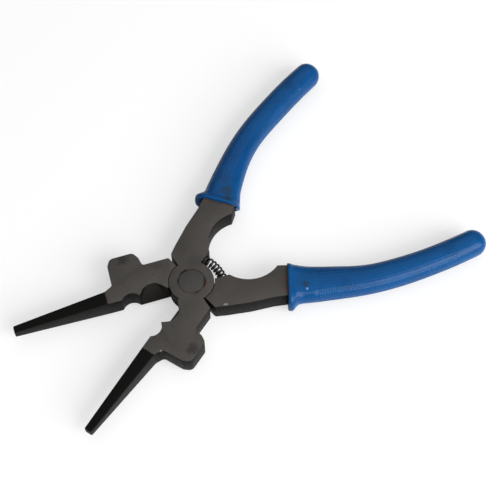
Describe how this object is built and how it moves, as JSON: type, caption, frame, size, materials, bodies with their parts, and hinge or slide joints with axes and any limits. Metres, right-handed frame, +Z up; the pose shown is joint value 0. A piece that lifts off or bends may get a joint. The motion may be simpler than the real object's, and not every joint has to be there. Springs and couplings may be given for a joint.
{
  "type": "welding pliers",
  "caption": "Lap-jointed spring-opened pliers with long tapered noses, hammer heads, a round nozzle notch, a bevelled wire cutter and moulded handle sleeves.",
  "frame": {"origin": "pivot axis at the underside of the joint", "axes": "+X along the line that halves the opening, towards the handles; +Y towards the front half's handle; +Z up along the pivot axis"},
  "size_m": [0.1946, 0.132, 0.0135],
  "materials": {
    "ground_steel": "dark ground steel, black oxide on the noses",
    "rivet_steel": "ground flush with the joint",
    "spring_wire": "black spring wire",
    "blue_sleeve": "soft moulded plastic with a fine mesh pattern"
  },
  "bodies": {
    "front_arm": {"front_half": "ground_steel", "front_sleeve": "blue_sleeve", "pivot_rivet": "rivet_steel", "return_spring": "spring_wire"},
    "rear_arm": {"rear_half": "ground_steel", "rear_sleeve": "blue_sleeve"}
  },
  "joints": [
    {"name": "pivot", "type": "hinge", "parent": "front_arm", "child": "rear_arm", "pos_m": [0, 0, 0], "axis": [0, 0, 1], "range_deg": [-4, 40], "stiffness_Nm_per_rad": 0.4, "deforming": ["return_spring"]}
  ]
}
